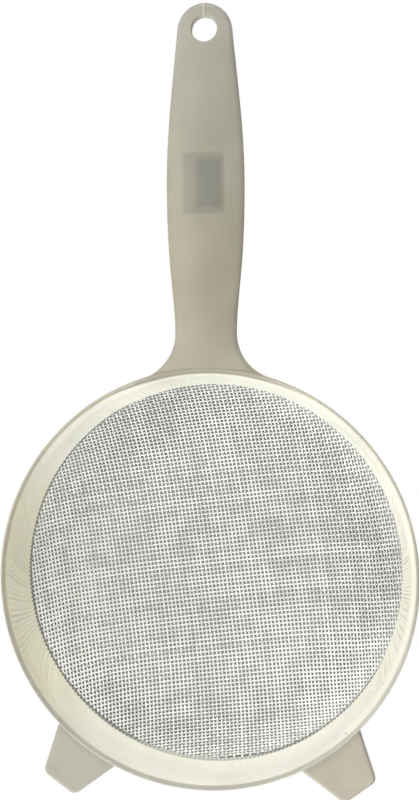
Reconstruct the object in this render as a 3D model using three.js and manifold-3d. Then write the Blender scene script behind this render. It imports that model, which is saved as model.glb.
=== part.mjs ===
// Hand strainer: a bowl of plain woven steel wire held in the collar of a one-piece plastic frame,
// which carries a flat handle with a hanging hole and two tabs that rest on the edge of a pot.
// Millimetres, +Z up, rim level, handle along +Y, origin under the middle of the whole part.
import * as THREE from "three";
import { mergeVertices } from "three/addons/utils/BufferGeometryUtils.js";
import Module from "manifold-3d";

// Collar and lip. Depths are measured down from the top of the lip.
const RIM_RADIUS = 80; // outside of the lip
const LIP_WIDTH = 2.2; // from the outside of the lip to the inner face of the collar
const LIP_HEIGHT = 4; // outer face of the lip
const LIP_OUTER_ROUND = 0.7;
const LIP_INNER_ROUND = 1.3;
const COLLAR_DEPTH = 26;
const COLLAR_DRAFT = 3.6; // how far the collar leans in from the lip to its lower edge
const COLLAR_SKIN = 0.45; // plastic on each side of the cloth

// Woven cloth. One wire stands for about four of the real cloth.
const WIRES_EACH_WAY = 24;
const WIRE_DIAMETER = 0.5;
const WEAVE_GAP = 0.12; // between two wires where they cross
const CLOTH_CLEARANCE = 0.25; // between the cloth and each side of its slot
const END_CLEARANCE = 0.3; // between the ends of the wires and the top of the slot
const SLOT_DEPTH = 10; // how far the cloth reaches up into the collar
const DISH_RADIUS = 400; // shallow middle of the bowl, in section
const SIDE_RADIUS = 70; // rounded side of the bowl, in section
const MOUTH_LEAN = THREE.MathUtils.degToRad(54); // slope of the cloth where it enters the collar
const CLOTH_TURN = THREE.MathUtils.degToRad(7.4); // how far the weave is turned from the handle

// Handle. Reaches are measured from the axis of the bowl.
const HANDLE_REACH = 219.2;
const BELLY_REACH = 150; // widest place of the grip
const BELLY_WIDTH = 30;
const NECK_WIDTH = 23.7;
const ROOT_FILLET = 18; // flare from the neck into the rim
const TIP_RADIUS = 10.7;
const TIP_TAPER = THREE.MathUtils.degToRad(5.6); // slope of each side where it meets the round tip
const HANDLE_DROP = 0.8; // from the lip down to the ridge of the handle
const HANDLE_ROUND = 2; // rounding of the handle's edge
const CROWN_RADIUS = 90; // crown of the handle's top, in section
const HOLE_DIAMETER = 9.8;
const HOLE_INSET = 10.2; // from the tip to the middle of the hanging hole
const HOLE_CHAMFER = 0.5;

// Rest tabs. The tabs and the handle share one level underside.
const TAB_ANGLE = THREE.MathUtils.degToRad(36); // to each side of the line opposite the handle
const TAB_REACH = 98.4;
const TAB_ROOT_WIDTH = 27.7;
const TAB_TIP_WIDTH = 14.9;
const TAB_CORNER = 3;
const TAB_DROP = 1.6; // from the lip down to the top of the tab
const TAB_ROUND = 1.2;
const REST_DROP = 5.5; // from the lip down to the underside of the tabs and the handle

// Pull of the handle's side curves, as shares of the run between neck, belly and tip.
const NECK_PULL = 0.24;
const BELLY_PULL_DOWN = 0.56;
const BELLY_PULL_UP = 0.33;
const TIP_PULL = 0.39;

// Fineness of the facets.
const RIM_SEGMENTS = 72;
const HOLE_SEGMENTS = 32;
const ROUND_STEPS = 3; // on a small rounding of the lip
const CURVE_STEPS = 6; // on each curve of an outline
const TIP_END = THREE.MathUtils.degToRad(82); // where the round tip closes with a short flat
const EDGE_STEPS = [0, 0.12, 0.42, 1]; // lines across a rounded edge, as shares of its width
const INNER_STEPS = [2 / 3, 1 / 3]; // lines between a rounded edge and the middle
const WIRE_SIDES = 4;

const PLASTIC = new THREE.MeshStandardMaterial({ color: 0xbab5a2, roughness: 0.45, metalness: 0 });
const STEEL = new THREE.MeshStandardMaterial({ color: 0xcfcec8, roughness: 0.3, metalness: 1 });

// Collar section, worked out from the thickness of the cloth that it holds.
const crimp = (WIRE_DIAMETER + WEAVE_GAP) / 2;
const slotWidth = 2 * crimp + WIRE_DIAMETER + 2 * CLOTH_CLEARANCE;
const collarWall = slotWidth + 2 * COLLAR_SKIN;
const crestRadius = RIM_RADIUS - LIP_WIDTH;
const draftAngle = Math.atan2(COLLAR_DRAFT, COLLAR_DEPTH);
const slotTop = SLOT_DEPTH - COLLAR_DEPTH;

// Radius at height z of a face of the collar that lies a given distance outside its inner face.
function collarRadius(outward, z) {
  return crestRadius + outward + z * Math.tan(draftAngle);
}

// Bowl section: a shallow dish that runs smoothly into a rounded side, then straight up the slot.
const mouthRadius = collarRadius(collarWall / 2, -COLLAR_DEPTH);
const dishSine = (mouthRadius - SIDE_RADIUS * Math.sin(MOUTH_LEAN)) / (DISH_RADIUS - SIDE_RADIUS);
const dishLean = Math.asin(dishSine);
const dishEdge = DISH_RADIUS * dishSine;
const dishArc = DISH_RADIUS * dishLean;
const dishDepth = DISH_RADIUS * (1 - Math.cos(dishLean));
const mouthArc = dishArc + SIDE_RADIUS * (MOUTH_LEAN - dishLean);
const bowlDepth = dishDepth + SIDE_RADIUS * (Math.cos(dishLean) - Math.cos(MOUTH_LEAN));
const bowlBottom = -COLLAR_DEPTH - bowlDepth;
const wirePitch = (2 * mouthArc) / WIRES_EACH_WAY;
const wireEndRadius = collarRadius(collarWall / 2, slotTop - END_CLEARANCE);

const wasm = await Module();
wasm.setup();

// A closed geometry as a solid that can be joined and cut.
function toSolid(geometry) {
  const bare = geometry.clone();
  bare.deleteAttribute("normal");
  bare.deleteAttribute("uv");
  const merged = mergeVertices(bare, 1e-4);
  return new wasm.Manifold(
    new wasm.Mesh({
      numProp: 3,
      vertProperties: new Float32Array(merged.attributes.position.array),
      triVerts: new Uint32Array(merged.index.array),
    }),
  );
}

function toGeometry(solid) {
  const { vertProperties, triVerts } = solid.getMesh();
  const geometry = new THREE.BufferGeometry();
  geometry.setAttribute("position", new THREE.BufferAttribute(vertProperties, 3));
  geometry.setIndex(new THREE.BufferAttribute(triVerts, 1));
  geometry.computeVertexNormals();
  return geometry;
}

// A ring or plug turned about Z from a section of (radius, height) points.
function turned(points, segments) {
  return new THREE.LatheGeometry(points, segments).rotateX(Math.PI / 2);
}

// The collar: an inverted U in section, with the slot for the cloth open at its lower edge.
function collarGeometry() {
  const low = -COLLAR_DEPTH;
  const innerSlot = COLLAR_SKIN;
  const outerSlot = COLLAR_SKIN + slotWidth;
  const section = new THREE.Path();
  section.moveTo(collarRadius(collarWall, low), low);
  section.lineTo(collarRadius(collarWall, -LIP_HEIGHT), -LIP_HEIGHT);
  section.lineTo(RIM_RADIUS, -LIP_HEIGHT);
  section.lineTo(RIM_RADIUS, -LIP_OUTER_ROUND);
  section.quadraticCurveTo(RIM_RADIUS, 0, RIM_RADIUS - LIP_OUTER_ROUND, 0);
  section.lineTo(crestRadius + LIP_INNER_ROUND, 0);
  section.quadraticCurveTo(crestRadius, 0, collarRadius(0, -LIP_INNER_ROUND), -LIP_INNER_ROUND);
  section.lineTo(collarRadius(0, low), low);
  section.lineTo(collarRadius(innerSlot, low), low);
  section.lineTo(collarRadius(innerSlot, slotTop), slotTop);
  section.lineTo(collarRadius(outerSlot, slotTop), slotTop);
  section.lineTo(collarRadius(outerSlot, low), low);
  section.closePath();
  return turned(section.getPoints(ROUND_STEPS), RIM_SEGMENTS);
}

// The space inside the collar that the handle and the tabs must not enter.
function collarCoreGeometry() {
  const low = -2 * COLLAR_DEPTH;
  const high = COLLAR_DEPTH;
  const skinMiddle = collarWall - COLLAR_SKIN / 2;
  const lipMiddle = RIM_RADIUS - LIP_WIDTH / 2;
  const section = [
    new THREE.Vector2(0, low),
    new THREE.Vector2(collarRadius(skinMiddle, low), low),
    new THREE.Vector2(collarRadius(skinMiddle, slotTop), slotTop),
    new THREE.Vector2(lipMiddle, slotTop),
    new THREE.Vector2(lipMiddle, high),
    new THREE.Vector2(0, high),
  ];
  return turned(section, RIM_SEGMENTS);
}

// Shortest distance from a point of the plan to the outline that runs through the given points.
function distanceToOutline(point, outline) {
  const nearest = new THREE.Vector2();
  const line = new THREE.Vector2();
  let best = Infinity;
  for (let i = 1; i < outline.length; i += 1) {
    line.subVectors(outline[i], outline[i - 1]);
    nearest.subVectors(point, outline[i - 1]);
    const share = THREE.MathUtils.clamp(nearest.dot(line) / line.lengthSq(), 0, 1);
    nearest.copy(outline[i - 1]).addScaledVector(line, share);
    best = Math.min(best, nearest.distanceTo(point));
  }
  return best;
}

// A flat arm along +Y with a rounded edge. Each point of side gives a half width x at a reach y,
// from the root to the tip. topAt gives the height of the top at a distance from the middle.
function armGeometry(side, round, topAt) {
  const bottom = -REST_DROP;
  const outline = [...side, new THREE.Vector2(0, side.at(-1).y)];
  const columns = 2 * (EDGE_STEPS.length + INNER_STEPS.length) + 1;
  const tops = [];
  const bottoms = [];
  for (const { x: half, y } of side) {
    const edge = Math.min(round, half / 2);
    const inner = half - edge;
    const right = [...EDGE_STEPS.map((s) => half - s * edge), ...INNER_STEPS.map((s) => s * inner)];
    const across = [...right, 0, ...right.map((x) => -x).reverse()];
    const parting = (topAt(half) + bottom) / 2;
    for (const x of across) {
      const inset = distanceToOutline(new THREE.Vector2(Math.abs(x), y), outline);
      const share = Math.min(inset / round, 1);
      const fullness = Math.sqrt(1 - (1 - share) ** 2);
      tops.push(x, y, parting + fullness * (topAt(x) - parting));
      bottoms.push(x, y, parting + fullness * (bottom - parting));
    }
  }
  const count = side.length * columns;
  const index = [];
  const quad = (a, b, c, d) => index.push(a, b, c, a, c, d);
  for (let row = 0; row + 1 < side.length; row += 1) {
    for (let column = 0; column + 1 < columns; column += 1) {
      const a = row * columns + column;
      const b = a + columns;
      quad(a, b, b + 1, a + 1);
      quad(count + a, count + a + 1, count + b + 1, count + b);
    }
  }
  for (let a = 0; a + 1 < columns; a += 1) {
    quad(a, a + 1, count + a + 1, count + a);
  }
  const geometry = new THREE.BufferGeometry();
  geometry.setAttribute("position", new THREE.Float32BufferAttribute([...tops, ...bottoms], 3));
  geometry.setIndex(index);
  return geometry;
}

// The right side of the handle: flare at the rim, neck, belly and round tip.
function handleGeometry() {
  const neck = NECK_WIDTH / 2;
  const belly = BELLY_WIDTH / 2;
  const flareX = neck + ROOT_FILLET;
  const flareY = Math.sqrt((RIM_RADIUS + ROOT_FILLET) ** 2 - flareX ** 2);
  const tipMiddle = HANDLE_REACH - TIP_RADIUS;
  const tipX = TIP_RADIUS * Math.cos(TIP_TAPER);
  const tipY = tipMiddle + TIP_RADIUS * Math.sin(TIP_TAPER);
  const lower = BELLY_REACH - flareY;
  const upper = tipY - BELLY_REACH;
  const pull = TIP_PULL * upper;
  const side = new THREE.Path();
  side.absarc(flareX, flareY, ROOT_FILLET, Math.atan2(-flareY, -flareX), -Math.PI, true);
  side.bezierCurveTo(
    neck,
    flareY + NECK_PULL * lower,
    belly,
    BELLY_REACH - BELLY_PULL_DOWN * lower,
    belly,
    BELLY_REACH,
  );
  side.bezierCurveTo(
    belly,
    BELLY_REACH + BELLY_PULL_UP * upper,
    tipX + pull * Math.sin(TIP_TAPER),
    tipY - pull * Math.cos(TIP_TAPER),
    tipX,
    tipY,
  );
  side.absarc(0, tipMiddle, TIP_RADIUS, TIP_TAPER, TIP_END, false);
  const points = side.getPoints(CURVE_STEPS);
  const root = new THREE.Vector2(points[0].x, points[0].y - 2 * LIP_WIDTH);
  return armGeometry([root, ...points], HANDLE_ROUND, (x) => -HANDLE_DROP - x ** 2 / (2 * CROWN_RADIUS));
}

// The hanging hole, chamfered at the underside and at the top of the handle.
function holeCutterGeometry() {
  const radius = HOLE_DIAMETER / 2;
  const reach = HOLE_CHAMFER + radius;
  const section = [
    new THREE.Vector2(0, -REST_DROP - radius),
    new THREE.Vector2(reach + radius, -REST_DROP - radius),
    new THREE.Vector2(radius, -REST_DROP + HOLE_CHAMFER),
    new THREE.Vector2(radius, -HANDLE_DROP - HOLE_CHAMFER),
    new THREE.Vector2(reach + radius, -HANDLE_DROP + radius),
    new THREE.Vector2(0, -HANDLE_DROP + radius),
  ];
  return turned(section, HOLE_SEGMENTS).translate(0, HANDLE_REACH - HOLE_INSET, 0);
}

// One rest tab along +Y: straight tapering sides and a square tip with round corners.
function tabGeometry() {
  const rootHalf = TAB_ROOT_WIDTH / 2;
  const tipHalf = TAB_TIP_WIDTH / 2;
  const rootReach = Math.sqrt(RIM_RADIUS ** 2 - rootHalf ** 2);
  const taper = Math.atan2(rootHalf - tipHalf, TAB_REACH - rootReach);
  const cornerX = tipHalf - TAB_CORNER * Math.tan((Math.PI / 2 - taper) / 2);
  const side = new THREE.Path();
  side.moveTo(rootHalf, rootReach - 2 * LIP_WIDTH);
  side.lineTo(rootHalf, rootReach);
  side.absarc(cornerX, TAB_REACH - TAB_CORNER, TAB_CORNER, taper, Math.PI / 2, false);
  return armGeometry(side.getPoints(CURVE_STEPS), TAB_ROUND, () => -TAB_DROP);
}

// The whole moulding: collar, handle and both tabs in one piece.
function frameGeometry() {
  const core = toSolid(collarCoreGeometry());
  const handle = toSolid(handleGeometry()).subtract(toSolid(holeCutterGeometry()));
  let frame = toSolid(collarGeometry()).add(handle.subtract(core));
  for (const turn of [Math.PI - TAB_ANGLE, Math.PI + TAB_ANGLE]) {
    const tab = toSolid(tabGeometry().rotateZ(turn));
    frame = frame.add(tab.subtract(core));
  }
  return toGeometry(frame);
}

// The middle of the cloth at a radius: its slope, its height over the bottom of the bowl, and the
// length along the cloth from the middle of the bowl.
function clothAt(radius) {
  if (radius <= dishEdge) {
    const lean = Math.asin(radius / DISH_RADIUS);
    return { lean, height: DISH_RADIUS * (1 - Math.cos(lean)), arc: DISH_RADIUS * lean };
  }
  if (radius <= mouthRadius) {
    const lean = Math.asin(dishSine + (radius - dishEdge) / SIDE_RADIUS);
    const height = dishDepth + SIDE_RADIUS * (Math.cos(dishLean) - Math.cos(lean));
    return { lean, height, arc: dishArc + SIDE_RADIUS * (lean - dishLean) };
  }
  const run = (radius - mouthRadius) / Math.sin(draftAngle);
  const height = bowlDepth + run * Math.cos(draftAngle);
  return { lean: Math.PI / 2 - draftAngle, height, arc: mouthArc + run };
}

// Distance from the middle of the bowl, in plan, of the wire with the given number.
function wireOffset(number) {
  const arc = (number - (WIRES_EACH_WAY - 1) / 2) * wirePitch;
  const length = Math.abs(arc);
  if (length <= dishArc) {
    return DISH_RADIUS * Math.sin(arc / DISH_RADIUS);
  }
  const lean = dishLean + (length - dishArc) / SIDE_RADIUS;
  return Math.sign(arc) * (dishEdge + SIDE_RADIUS * (Math.sin(lean) - dishSine));
}

// Places along a wire where it gets a point: each crossing, the mouth of the slot and its own ends.
function wireStations(offset) {
  const reachAt = (radius) => Math.sqrt(radius ** 2 - offset ** 2);
  const end = reachAt(wireEndRadius);
  const numbers = Array.from({ length: WIRES_EACH_WAY }, (_, number) => number);
  const crossings = numbers.map(wireOffset).filter((place) => Math.abs(place) < end - WIRE_DIAMETER);
  const inSlot = [mouthRadius, (mouthRadius + wireEndRadius) / 2].map(reachAt);
  const extra = [...inSlot, ...inSlot.map((place) => -place)].filter((place) =>
    crossings.every((crossing) => Math.abs(crossing - place) > WIRE_DIAMETER),
  );
  return [-end, ...crossings, ...extra, end].sort((a, b) => a - b);
}

// One wire along Y at a given offset in X. It goes over and under the wires that it crosses; weave
// is 1 or -1 and says on which side it starts.
function wireGeometry(offset, weave) {
  const stations = wireStations(offset);
  const normals = [];
  const points = stations.map((place) => {
    const radius = Math.hypot(offset, place);
    const { lean, height } = clothAt(radius);
    const crossings = (Math.sign(place) * clothAt(Math.abs(place)).arc) / wirePitch;
    const phase = Math.PI * (crossings + (WIRES_EACH_WAY - 1) / 2);
    const inward = -Math.sin(lean) / radius;
    const normal = new THREE.Vector3(inward * offset, inward * place, Math.cos(lean));
    normals.push(normal);
    const middle = new THREE.Vector3(offset, place, bowlBottom + height);
    return middle.addScaledVector(normal, weave * crimp * Math.cos(phase));
  });
  const positions = [];
  points.forEach((point, i) => {
    const before = points[Math.max(i - 1, 0)];
    const after = points[Math.min(i + 1, points.length - 1)];
    const along = after.clone().sub(before).normalize();
    const sideways = along.clone().cross(normals[i]).normalize();
    const up = sideways.clone().cross(along);
    for (let corner = 0; corner < WIRE_SIDES; corner += 1) {
      const angle = (2 * Math.PI * corner) / WIRE_SIDES;
      const vertex = point.clone();
      vertex.addScaledVector(up, (WIRE_DIAMETER / 2) * Math.cos(angle));
      vertex.addScaledVector(sideways, (WIRE_DIAMETER / 2) * Math.sin(angle));
      positions.push(...vertex);
    }
  });
  const index = [];
  for (let ring = 0; ring + 1 < points.length; ring += 1) {
    for (let corner = 0; corner < WIRE_SIDES; corner += 1) {
      const a = ring * WIRE_SIDES + corner;
      const b = ring * WIRE_SIDES + ((corner + 1) % WIRE_SIDES);
      index.push(a, b, b + WIRE_SIDES, a, b + WIRE_SIDES, a + WIRE_SIDES);
    }
  }
  const last = (points.length - 1) * WIRE_SIDES;
  for (let corner = 1; corner + 1 < WIRE_SIDES; corner += 1) {
    index.push(0, corner + 1, corner, last, last + corner, last + corner + 1);
  }
  const geometry = new THREE.BufferGeometry();
  geometry.setAttribute("position", new THREE.Float32BufferAttribute(positions, 3));
  geometry.setIndex(index);
  geometry.computeVertexNormals();
  return geometry;
}

// The cloth: warp wires along the handle and weft wires across it, turned together by the weave.
function clothGroup() {
  const cloth = new THREE.Group();
  cloth.rotation.z = CLOTH_TURN;
  for (let number = 0; number < WIRES_EACH_WAY; number += 1) {
    const offset = wireOffset(number);
    const side = number % 2 === 0 ? 1 : -1;
    const label = String(number + 1).padStart(2, "0");
    const warp = new THREE.Mesh(wireGeometry(offset, side), STEEL);
    warp.name = `warp_wire_${label}`;
    const weft = new THREE.Mesh(wireGeometry(-offset, -side), STEEL);
    weft.name = `weft_wire_${label}`;
    weft.rotation.z = Math.PI / 2;
    cloth.add(warp, weft);
  }
  return cloth;
}

const frame = new THREE.Mesh(frameGeometry(), PLASTIC);
frame.name = "moulded_frame";

const strainer = new THREE.Group();
strainer.add(frame, clothGroup());

// The origin goes under the middle of the part, level with the bottom of the bowl.
const box = new THREE.Box3().setFromObject(strainer, true);
const middle = box.getCenter(new THREE.Vector3());
strainer.position.set(-middle.x, -middle.y, -box.min.z);

export default strainer;
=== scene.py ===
"""Looks of a round hand strainer: a bowl of woven steel wire moulded into a translucent plastic frame.

Sizes are in millimetres, measured from the axis of the bowl and from the top of the lip, as in the
part's own source. They become metres of the shared frame when a mesh is made.
"""

import logging
import math
from dataclasses import dataclass, field
from enum import Enum
from functools import reduce
from typing import Callable, Sequence

import bmesh
import bpy
import numpy as np
from mathutils import Matrix, Vector


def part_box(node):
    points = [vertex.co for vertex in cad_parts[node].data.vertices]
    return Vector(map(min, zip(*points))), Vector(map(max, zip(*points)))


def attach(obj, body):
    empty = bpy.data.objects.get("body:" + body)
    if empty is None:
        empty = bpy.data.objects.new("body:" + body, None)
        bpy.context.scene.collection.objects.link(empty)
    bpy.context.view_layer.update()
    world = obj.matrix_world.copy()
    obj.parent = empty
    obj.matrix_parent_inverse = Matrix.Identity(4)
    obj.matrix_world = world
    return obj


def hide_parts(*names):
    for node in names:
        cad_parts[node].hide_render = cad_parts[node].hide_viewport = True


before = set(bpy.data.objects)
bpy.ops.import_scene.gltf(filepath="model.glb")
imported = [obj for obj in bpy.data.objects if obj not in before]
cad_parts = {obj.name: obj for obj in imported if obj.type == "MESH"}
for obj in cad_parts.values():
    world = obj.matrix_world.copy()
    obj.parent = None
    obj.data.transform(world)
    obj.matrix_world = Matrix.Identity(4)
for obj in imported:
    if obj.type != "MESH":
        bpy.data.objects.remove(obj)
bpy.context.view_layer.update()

MM = 0.001
TINY = 1e-6
BODY = "root"
FRAME_NODE = "moulded_frame"
SEED = 20417

log = logging.getLogger("strainer")

Array = np.ndarray
Material = bpy.types.Material
Node = bpy.types.Node
Piece = bpy.types.Object
Socket = bpy.types.NodeSocket
Span = tuple[float, float]
Triple = tuple[float, float, float]
Step = tuple[float, float, float, float]
Colour = Triple
Section = list[Span]

WHITE: Colour = (1.0, 1.0, 1.0)
BLACK: Colour = (0.0, 0.0, 0.0)


class Carve(Enum):
    """Ways to combine two closed meshes."""

    JOIN = "UNION"
    CUT = "DIFFERENCE"


class Blend(Enum):
    """Ways to lay one colour on another."""

    COVER = "MIX"
    TINT = "MULTIPLY"


class WireRun(Enum):
    """The two families of wires in the cloth."""

    WARP = "warp"
    WEFT = "weft"


class ClothSide(Enum):
    """Halves of a wire family, by the sign of their place across it."""

    LOW = -1
    HIGH = 1


@dataclass(frozen=True)
class Place:
    """Where the bowl's axis and the top of the lip stand in the shared frame, in millimetres."""

    axis_y: float
    lip_top: float

    def to_frame(self, points: Array) -> Array:
        """Moves (x, y, z) rows from the bowl's own axes into metres of the shared frame."""
        return (points + np.array([0.0, self.axis_y, self.lip_top])) * MM

    def origin(self) -> Vector:
        """The middle of the lip's top, in metres of the shared frame."""
        return Vector((0.0, self.axis_y * MM, self.lip_top * MM))


@dataclass(frozen=True)
class CollarSection:
    """The collar and its lip in section. Heights are measured from the top of the lip."""

    rim_radius: float = 80.0
    lip_width: float = 2.2
    lip_height: float = 4.0
    outer_round: float = 0.6
    under_round: float = 0.1
    crest_width: float = 0.75
    crest_round: float = 0.3
    strip_width: float = 1.15
    strip_drop: float = 3.3
    strip_round: float = 0.4
    shelf_drop: float = 5.6
    shelf_round: float = 0.7
    depth: float = 26.0
    draft: float = 3.6
    wall: float = 2.52
    edge_round: float = 0.4
    row_step: float = 1.4
    round_steps: int = 6

    @property
    def crest_radius(self) -> float:
        """Radius where the lip turns down into the inner face."""
        return self.rim_radius - self.lip_width

    @property
    def slope(self) -> float:
        """How far the wall leans in for each millimetre down."""
        return self.draft / self.depth

    def radius_at(self, outward: float, z: float) -> float:
        """Radius at a height of the face that lies some distance outside the inner face."""
        return self.crest_radius + outward + z * self.slope

    def outline(self) -> Section:
        """Closed section of the ring as (radius, height) points.

        Returns:
            Points down the inner face, round the lower edge, up the outer face and over the lip.
        """
        low, under_lip = -self.depth, -self.lip_height
        corners = [
            (self.radius_at(0.0, -self.shelf_drop), -self.shelf_drop, self.shelf_round),
            (self.radius_at(0.0, low), low, self.edge_round),
            (self.radius_at(self.wall, low), low, self.edge_round),
            (self.radius_at(self.wall, under_lip), under_lip, self.under_round),
            (self.rim_radius, under_lip, self.under_round),
            (self.rim_radius, 0.0, self.outer_round),
            (self.rim_radius - self.crest_width, 0.0, self.crest_round),
            (self.rim_radius - self.strip_width, -self.strip_drop, self.strip_round),
        ]
        peaks = [np.array(corner[:2]) for corner in corners]
        points: list[Array] = []
        for k, (_, _, rounding) in enumerate(corners):
            points += self._corner(peaks[k - 1], peaks[k], peaks[(k + 1) % len(peaks)], rounding)
        rows: Section = []
        for start, end in zip(points, points[1:] + points[:1]):
            count = max(1, math.ceil(float(np.linalg.norm(end - start)) / self.row_step))
            rows += [tuple(float(v) for v in start + (end - start) * k / count) for k in range(count)]
        return rows

    def _corner(self, before: Array, peak: Array, after: Array, rounding: float) -> list[Array]:
        """A rounded corner as a quadratic curve.

        Args:
            before: The corner before this one.
            peak: The corner that the curve cuts off.
            after: The corner after this one.
            rounding: How far from the corner the curve begins and ends.

        Returns:
            Points along the curve.
        """
        start, end = (peak + (other - peak) * (rounding / np.linalg.norm(other - peak))
                      for other in (before, after))
        shares = np.linspace(0.0, 1.0, self.round_steps + 1)
        return [(1 - s) ** 2 * start + 2 * s * (1 - s) * peak + s ** 2 * end for s in shares]


@dataclass(frozen=True)
class BowlSection:
    """The middle of the cloth in section: a shallow dish, a rounded side, then up the collar."""

    collar: CollarSection
    dish_radius: float = 400.0
    side_radius: float = 70.0
    mouth_lean: float = math.radians(54.0)

    @property
    def mouth_radius(self) -> float:
        """Radius where the cloth enters the collar."""
        return self.collar.radius_at(self.collar.wall / 2, -self.collar.depth)

    @property
    def dish_lean(self) -> float:
        """Slope where the dish meets the side."""
        rest = self.mouth_radius - self.side_radius * math.sin(self.mouth_lean)
        return math.asin(rest / (self.dish_radius - self.side_radius))

    @property
    def mouth_arc(self) -> float:
        """Length along the cloth from the middle to the collar."""
        return self.dish_radius * self.dish_lean + self.side_radius * (self.mouth_lean - self.dish_lean)

    @property
    def depth(self) -> float:
        """Depth of the bowl below the collar."""
        dish = self.dish_radius * (1 - math.cos(self.dish_lean))
        return dish + self.side_radius * (math.cos(self.dish_lean) - math.cos(self.mouth_lean))

    def at(self, radius: Array) -> tuple[Array, Array, Array]:
        """The cloth at given radii.

        Args:
            radius: Distances from the axis.

        Returns:
            Slope in radians, height over the bottom of the bowl, and length along the cloth.
        """
        first = self.dish_lean
        edge = self.dish_radius * math.sin(first)
        dish = np.arcsin(np.clip(radius / self.dish_radius, 0.0, 1.0))
        side_sine = np.clip(math.sin(first) + (radius - edge) / self.side_radius, 0.0, 1.0)
        side = np.clip(np.arcsin(side_sine), first, self.mouth_lean)
        draft = math.atan(self.collar.slope)
        run = np.maximum(radius - self.mouth_radius, 0.0) / math.sin(draft)
        in_dish = radius <= edge
        in_wall = radius > self.mouth_radius
        lean = np.where(in_dish, dish, np.where(in_wall, math.pi / 2 - draft, side))
        dish_depth = self.dish_radius * (1 - math.cos(first))
        side_height = dish_depth + self.side_radius * (math.cos(first) - np.cos(side))
        height = np.where(in_dish, self.dish_radius * (1 - np.cos(dish)), side_height)
        arc = np.where(in_dish, self.dish_radius * dish,
                       self.dish_radius * first + self.side_radius * (side - first))
        return lean, height + run * math.cos(draft), arc + run


class NodeSheet:
    """Adds nodes to one node tree and links them."""

    def __init__(self, tree: bpy.types.NodeTree) -> None:
        """Starts on an existing tree."""
        self.tree = tree

    def add(self, kind: str, *values: object, **settings: object) -> Node:
        """Adds a node.

        Args:
            kind: Type name of the node.
            *values: Outputs or plain values for its inputs, in their order.
            **settings: Properties to set on it.

        Returns:
            The new node.
        """
        node = self.tree.nodes.new(kind)
        for name, value in settings.items():
            setattr(node, name, value)
        for value, socket in zip(values, node.inputs):
            self.feed(value, socket)
        return node

    def feed(self, value: object, socket: Socket) -> None:
        """Links an output to a socket, or sets a plain value on it.

        Args:
            value: Output or value.
            socket: The socket.
        """
        if isinstance(value, Socket):
            self.tree.links.new(value, socket)
        else:
            socket.default_value = value

    def fill(self, node: Node, values: dict[str, object]) -> None:
        """Links or sets inputs of a node by their names."""
        for name, value in values.items():
            self.feed(value, node.inputs[name])

    def math(self, operation: str, *values: object) -> Socket:
        """One step of arithmetic, by the name of its operation."""
        return self.add("ShaderNodeMath", *values, operation=operation).outputs[0]

    def times(self, *values: object) -> Socket:
        """The product of several outputs or numbers."""
        return reduce(lambda first, second: self.math("MULTIPLY", first, second), values)

    def vector(self, operation: str, *values: object) -> Node:
        """One step of vector arithmetic, by the name of its operation."""
        return self.add("ShaderNodeVectorMath", *values, operation=operation)

    def ease(self, value: object, start: float, end: float, low: float = 0.0,
             high: float = 1.0) -> Socket:
        """A smooth step between two places.

        Args:
            value: Output that is measured.
            start: Where the step begins. It may lie above the end.
            end: Where the step is complete.
            low: Result at the start.
            high: Result at the end.

        Returns:
            The stepped value.
        """
        numbers = (end, start, high, low) if start > end else (start, end, low, high)
        node = self.add("ShaderNodeMapRange", value, *numbers, interpolation_type="SMOOTHSTEP")
        return node.outputs[0]

    def band(self, value: object, span: Span, soft: float) -> Socket:
        """1 between two places and 0 outside them, with soft edges.

        Args:
            value: Output that is measured.
            span: The two places.
            soft: How far each edge reaches to both sides.

        Returns:
            The share.
        """
        low, high = span
        return self.times(self.ease(value, low - soft, low + soft),
                          self.ease(value, high + soft, high - soft))

    def mix(self, share: object, first: object, second: object, blend: Blend = Blend.COVER) -> Socket:
        """Mixes two colours.

        Args:
            share: How much of the second colour.
            first: Output or colour.
            second: Output or colour.
            blend: How the second colour is laid on the first.

        Returns:
            The mixed colour.
        """
        node = self.add("ShaderNodeMix", share, data_type="RGBA", blend_type=blend.value)
        for value, socket in zip((first, second), (node.inputs[6], node.inputs[7])):
            self.feed((*value, 1.0) if isinstance(value, tuple) else value, socket)
        return node.outputs[2]

    def toned(self, colour: Socket, tone: Socket) -> Socket:
        """Multiplies a colour by a number."""
        grey = self.add("ShaderNodeCombineColor", tone, tone, tone)
        return self.mix(1.0, colour, grey.outputs[0], Blend.TINT)

    def either(self, share: Socket, first: Socket, second: Socket) -> Socket:
        """Mixes two shaders by the share of the second."""
        return self.add("ShaderNodeMixShader", share, first, second).outputs[0]

    def attribute(self, name: str) -> Socket:
        """Reads a value that is stored on the points of the mesh."""
        return self.add("ShaderNodeAttribute", attribute_name=name).outputs["Fac"]


@dataclass(frozen=True)
class Sector:
    """A stretch of the ring in degrees: its middle, and how far to each side it is full and ends."""

    middle: float
    full: float
    reach: float


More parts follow.
